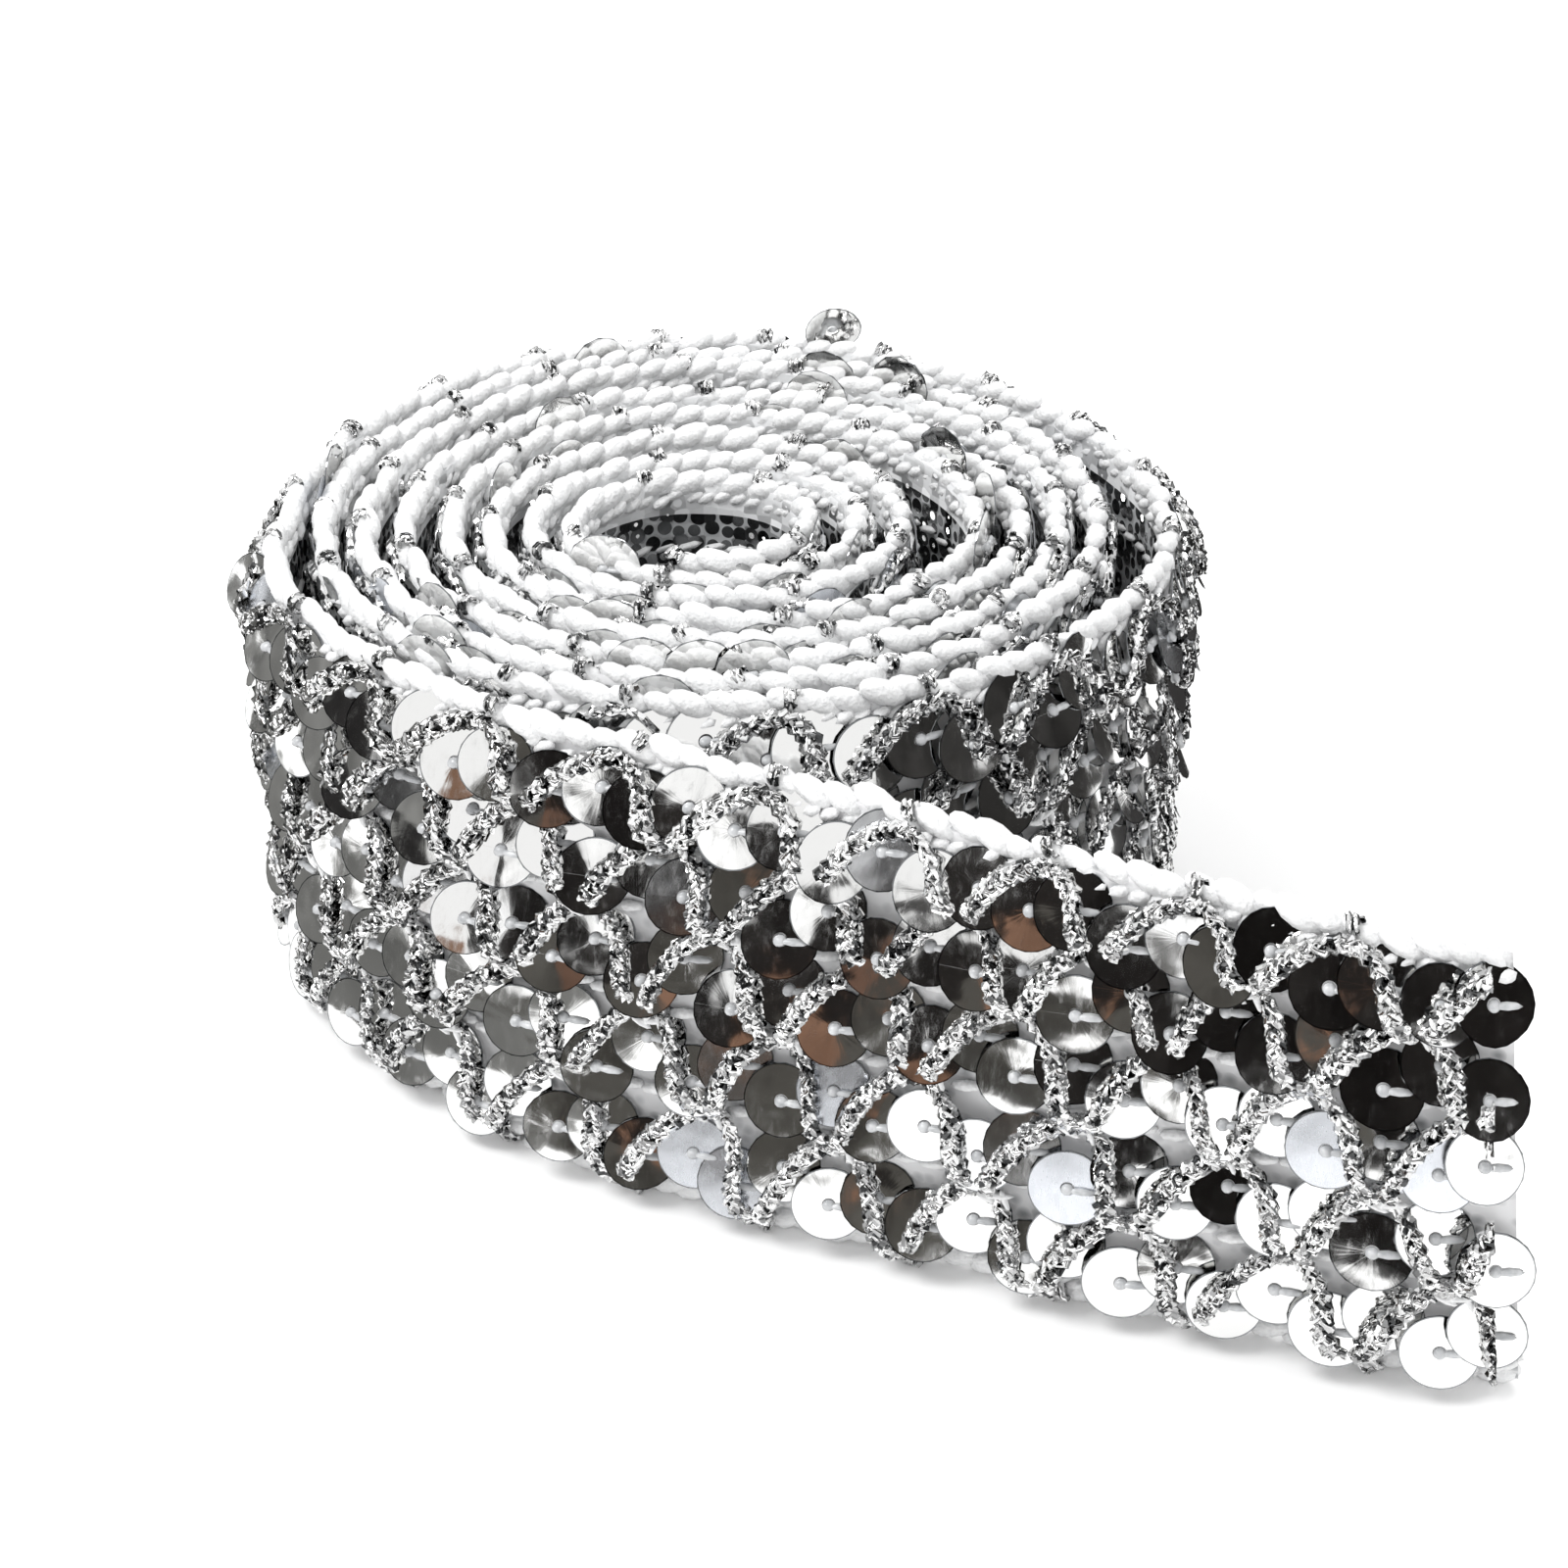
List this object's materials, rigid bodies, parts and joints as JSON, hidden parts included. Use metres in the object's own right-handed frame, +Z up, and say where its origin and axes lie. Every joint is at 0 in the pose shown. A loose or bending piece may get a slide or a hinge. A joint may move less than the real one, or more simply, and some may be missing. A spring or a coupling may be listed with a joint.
{
  "type": "rolled sequin trim",
  "caption": "Strip of silver sequin trim on a white knitted ground, standing on its edge as a loose roll with a free end.",
  "frame": {"origin": "middle of the outline's bounding box, on the surface that the trim stands on", "axes": "+Z up, along the strip's width and the roll's axis; the free end runs towards +X and -Y"},
  "size_m": [0.0854, 0.0912, 0.036],
  "materials": {
    "white_yarn": "matte",
    "silver_film": "polished"
  },
  "bodies": {
    "root": {"ground_band": "white_yarn", "sequin_row_1": "silver_film", "sequin_row_2": "silver_film", "sequin_row_3": "silver_film", "sequin_row_4": "silver_film", "sequin_row_5": "silver_film"}
  },
  "joints": []
}
